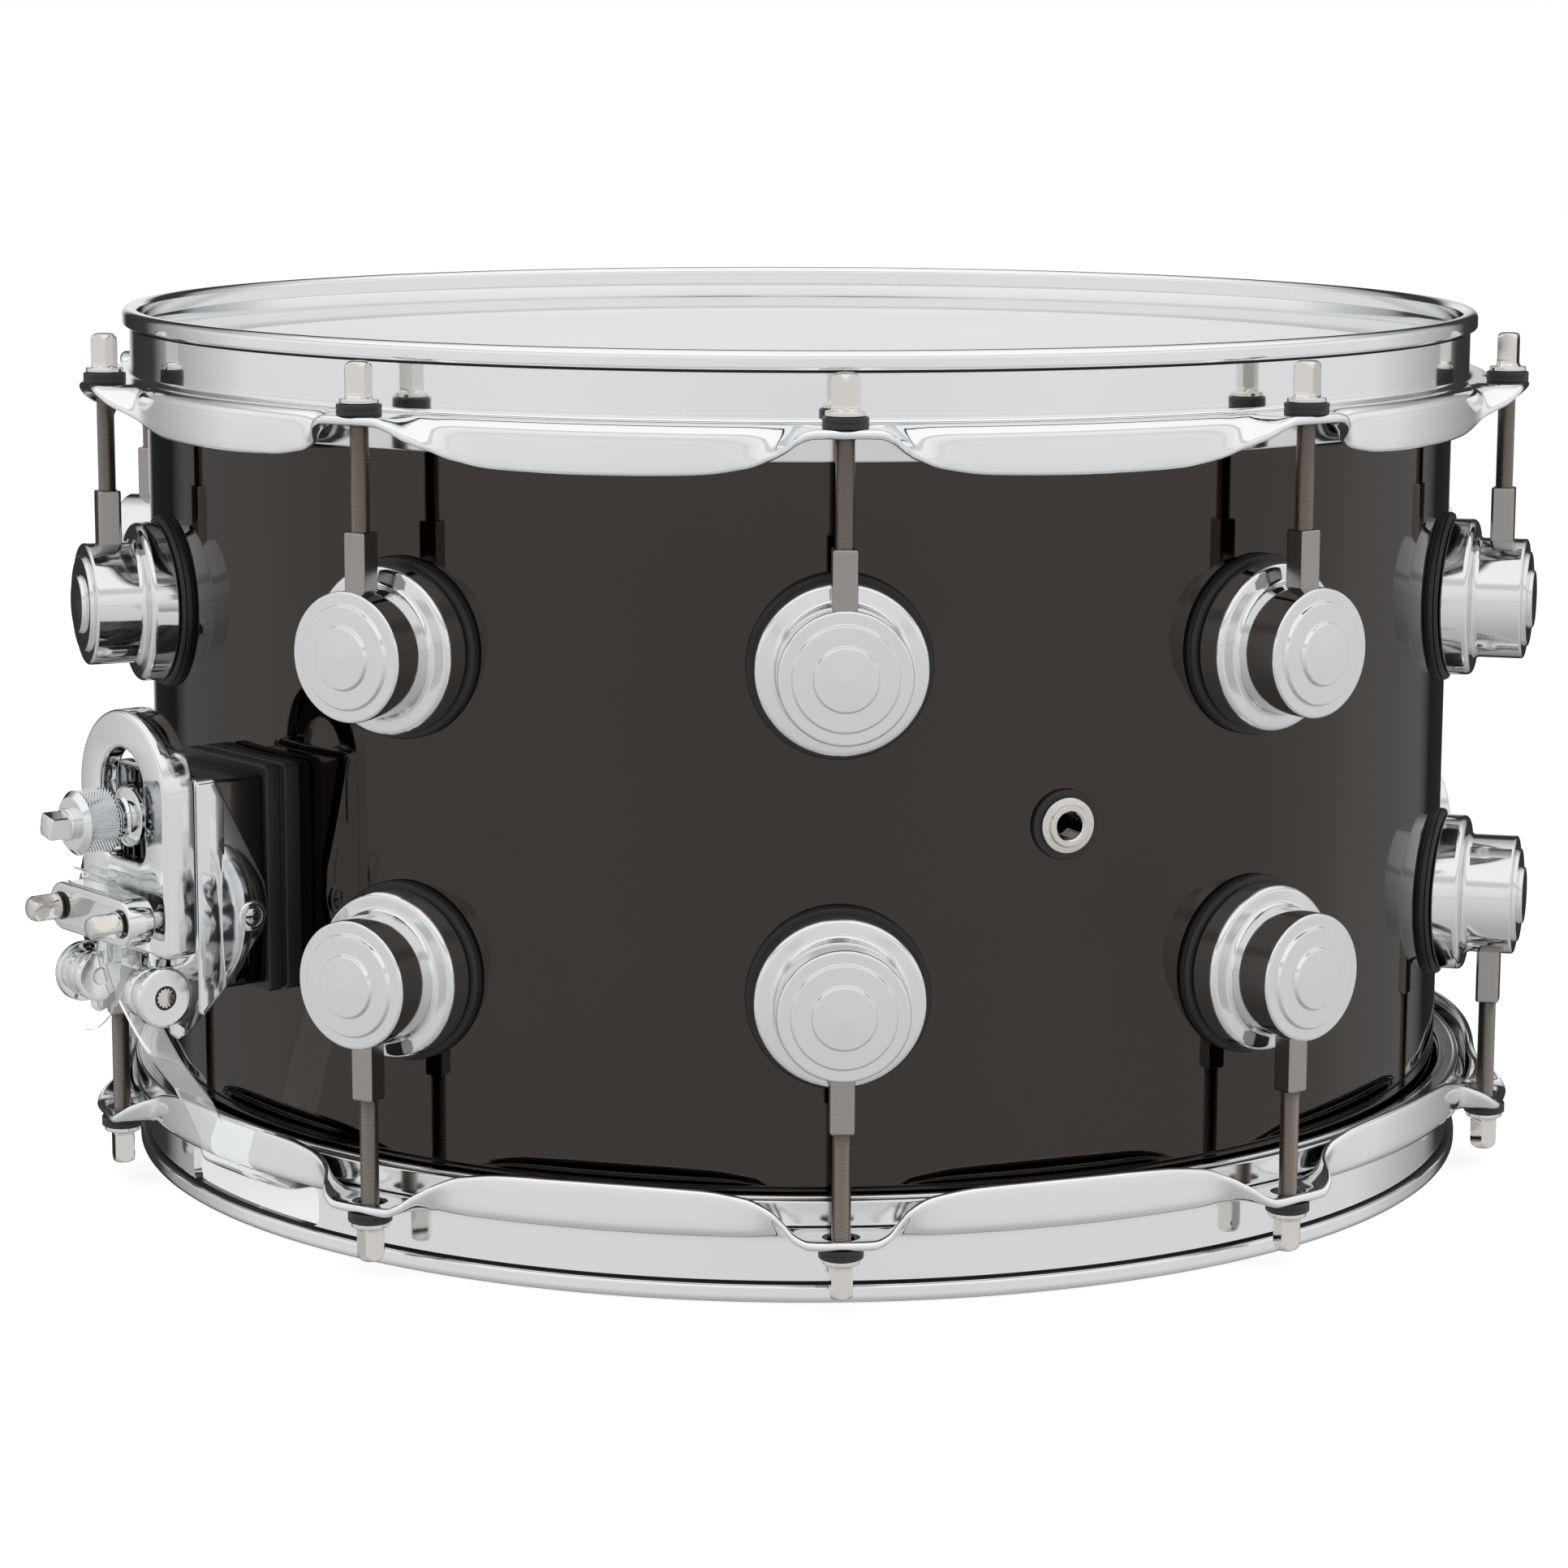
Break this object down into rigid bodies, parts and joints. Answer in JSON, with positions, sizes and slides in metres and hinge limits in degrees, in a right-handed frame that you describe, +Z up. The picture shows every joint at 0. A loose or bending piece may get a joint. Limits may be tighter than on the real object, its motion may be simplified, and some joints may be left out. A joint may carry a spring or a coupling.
{
  "type": "snare drum",
  "caption": "Deep metal-shelled snare drum with flanged steel hoops, round turret lugs, key rods, a magnetic throw-off with a clear strap and snare wires.",
  "frame": {"origin": "on the drum's axis, in the plane of the lower rim it stands on", "axes": "+Z up towards the batter head; -Y towards the front lug; the throw-off is 54 degrees from -Y towards -X"},
  "size_m": [0.3936, 0.4028, 0.2284],
  "materials": {
    "black_nickel": "black nickel plate, polished",
    "satin_nickel": "satin nickel",
    "chrome_steel": "bright chrome on steel",
    "hoop_channel": "polished",
    "coated_film": "white coating, fine grain",
    "clear_film": "clear film",
    "chrome_lug": "bright chrome",
    "black_rubber": "matte",
    "zinc_steel": "zinc plate",
    "black_nylon": "satin",
    "rod_nickel": "satin nickel, rolled thread",
    "black_block": "gloss",
    "chrome_cast": "bright chrome on casting",
    "clear_strap": "clear polyester strap",
    "snare_steel": "bright"
  },
  "bodies": {
    "drum": {"shell": "black_nickel", "vent_gasket": "black_rubber", "vent_grommet": "satin_nickel", "batter_hoop": "chrome_steel", "snare_hoop": "chrome_steel", "batter_flesh_hoop": "hoop_channel", "snare_flesh_hoop": "hoop_channel", "batter_head": "coated_film", "snare_head": "clear_film", "batter_lugs": "chrome_lug", "snare_lugs": "chrome_lug", "lug_gaskets": "black_rubber", "batter_receivers": "satin_nickel", "snare_receivers": "satin_nickel", "lug_screws": "zinc_steel", "lug_screw_washers": "zinc_steel", "rod_washers": "black_nylon", "throwoff_gasket": "black_rubber", "throwoff_block": "black_block", "throwoff_housing": "chrome_cast", "housing_side_screws": "satin_nickel", "mount_screws": "zinc_steel", "throwoff_magnets": "zinc_steel", "adjuster_post": "zinc_steel", "hinge_pins": "satin_nickel", "strap_lower": "clear_strap", "butt_gasket": "black_rubber", "butt_body": "chrome_cast", "butt_clamp": "chrome_cast", "butt_screws": "satin_nickel", "butt_strap": "clear_strap", "snare_end_plates": "snare_steel", "snare_wires": "snare_steel"},
    "lever": {"lever": "chrome_cast", "lever_keepers": "zinc_steel", "clamp_bar": "chrome_cast", "clamp_screws": "satin_nickel", "clamp_o_rings": "black_rubber", "strap_fold": "clear_strap"},
    "adjuster": {"adjuster_knob": "chrome_cast"},
    "batter_rod_1": {"batter_rod_1": "rod_nickel"},
    "batter_rod_2": {"batter_rod_2": "rod_nickel"},
    "batter_rod_3": {"batter_rod_3": "rod_nickel"},
    "batter_rod_4": {"batter_rod_4": "rod_nickel"},
    "batter_rod_5": {"batter_rod_5": "rod_nickel"},
    "batter_rod_6": {"batter_rod_6": "rod_nickel"},
    "batter_rod_7": {"batter_rod_7": "rod_nickel"},
    "batter_rod_8": {"batter_rod_8": "rod_nickel"},
    "batter_rod_9": {"batter_rod_9": "rod_nickel"},
    "batter_rod_10": {"batter_rod_10": "rod_nickel"},
    "snare_rod_1": {"snare_rod_1": "rod_nickel"},
    "snare_rod_2": {"snare_rod_2": "rod_nickel"},
    "snare_rod_3": {"snare_rod_3": "rod_nickel"},
    "snare_rod_4": {"snare_rod_4": "rod_nickel"},
    "snare_rod_5": {"snare_rod_5": "rod_nickel"},
    "snare_rod_6": {"snare_rod_6": "rod_nickel"},
    "snare_rod_7": {"snare_rod_7": "rod_nickel"},
    "snare_rod_8": {"snare_rod_8": "rod_nickel"},
    "snare_rod_9": {"snare_rod_9": "rod_nickel"},
    "snare_rod_10": {"snare_rod_10": "rod_nickel"}
  },
  "joints": [
    {"name": "lever_swing", "type": "hinge", "parent": "drum", "child": "lever", "pos_m": [-0.17475, -0.12696, 0.0677], "axis": [0.5878, -0.809, 0], "range_deg": [0, 75]},
    {"name": "adjuster_turn", "type": "hinge", "parent": "drum", "child": "adjuster", "pos_m": [-0.1796, -0.13049, 0.1096], "axis": [-0.809, -0.5878, 0], "continuous": true},
    {"name": "batter_rod_1_turn", "type": "hinge", "parent": "drum", "child": "batter_rod_1", "pos_m": [0, -0.1922, 0.223], "axis": [0, 0, 1], "continuous": true},
    {"name": "batter_rod_2_turn", "type": "hinge", "parent": "drum", "child": "batter_rod_2", "pos_m": [0.11297, -0.15549, 0.223], "axis": [0, 0, 1], "continuous": true},
    {"name": "batter_rod_3_turn", "type": "hinge", "parent": "drum", "child": "batter_rod_3", "pos_m": [0.18279, -0.05939, 0.223], "axis": [0, 0, 1], "continuous": true},
    {"name": "batter_rod_4_turn", "type": "hinge", "parent": "drum", "child": "batter_rod_4", "pos_m": [0.18279, 0.05939, 0.223], "axis": [0, 0, 1], "continuous": true},
    {"name": "batter_rod_5_turn", "type": "hinge", "parent": "drum", "child": "batter_rod_5", "pos_m": [0.11297, 0.15549, 0.223], "axis": [0, 0, 1], "continuous": true},
    {"name": "batter_rod_6_turn", "type": "hinge", "parent": "drum", "child": "batter_rod_6", "pos_m": [0, 0.1922, 0.223], "axis": [0, 0, 1], "continuous": true},
    {"name": "batter_rod_7_turn", "type": "hinge", "parent": "drum", "child": "batter_rod_7", "pos_m": [-0.11297, 0.15549, 0.223], "axis": [0, 0, 1], "continuous": true},
    {"name": "batter_rod_8_turn", "type": "hinge", "parent": "drum", "child": "batter_rod_8", "pos_m": [-0.18279, 0.05939, 0.223], "axis": [0, 0, 1], "continuous": true},
    {"name": "batter_rod_9_turn", "type": "hinge", "parent": "drum", "child": "batter_rod_9", "pos_m": [-0.18279, -0.05939, 0.223], "axis": [0, 0, 1], "continuous": true},
    {"name": "batter_rod_10_turn", "type": "hinge", "parent": "drum", "child": "batter_rod_10", "pos_m": [-0.11297, -0.15549, 0.223], "axis": [0, 0, 1], "continuous": true},
    {"name": "snare_rod_1_turn", "type": "hinge", "parent": "drum", "child": "snare_rod_1", "pos_m": [0, -0.1922, 0.0054], "axis": [0, 0, -1], "continuous": true},
    {"name": "snare_rod_2_turn", "type": "hinge", "parent": "drum", "child": "snare_rod_2", "pos_m": [0.11297, -0.15549, 0.0054], "axis": [0, 0, -1], "continuous": true},
    {"name": "snare_rod_3_turn", "type": "hinge", "parent": "drum", "child": "snare_rod_3", "pos_m": [0.18279, -0.05939, 0.0054], "axis": [0, 0, -1], "continuous": true},
    {"name": "snare_rod_4_turn", "type": "hinge", "parent": "drum", "child": "snare_rod_4", "pos_m": [0.18279, 0.05939, 0.0054], "axis": [0, 0, -1], "continuous": true},
    {"name": "snare_rod_5_turn", "type": "hinge", "parent": "drum", "child": "snare_rod_5", "pos_m": [0.11297, 0.15549, 0.0054], "axis": [0, 0, -1], "continuous": true},
    {"name": "snare_rod_6_turn", "type": "hinge", "parent": "drum", "child": "snare_rod_6", "pos_m": [0, 0.1922, 0.0054], "axis": [0, 0, -1], "continuous": true},
    {"name": "snare_rod_7_turn", "type": "hinge", "parent": "drum", "child": "snare_rod_7", "pos_m": [-0.11297, 0.15549, 0.0054], "axis": [0, 0, -1], "continuous": true},
    {"name": "snare_rod_8_turn", "type": "hinge", "parent": "drum", "child": "snare_rod_8", "pos_m": [-0.18279, 0.05939, 0.0054], "axis": [0, 0, -1], "continuous": true},
    {"name": "snare_rod_9_turn", "type": "hinge", "parent": "drum", "child": "snare_rod_9", "pos_m": [-0.18279, -0.05939, 0.0054], "axis": [0, 0, -1], "continuous": true},
    {"name": "snare_rod_10_turn", "type": "hinge", "parent": "drum", "child": "snare_rod_10", "pos_m": [-0.11297, -0.15549, 0.0054], "axis": [0, 0, -1], "continuous": true}
  ]
}
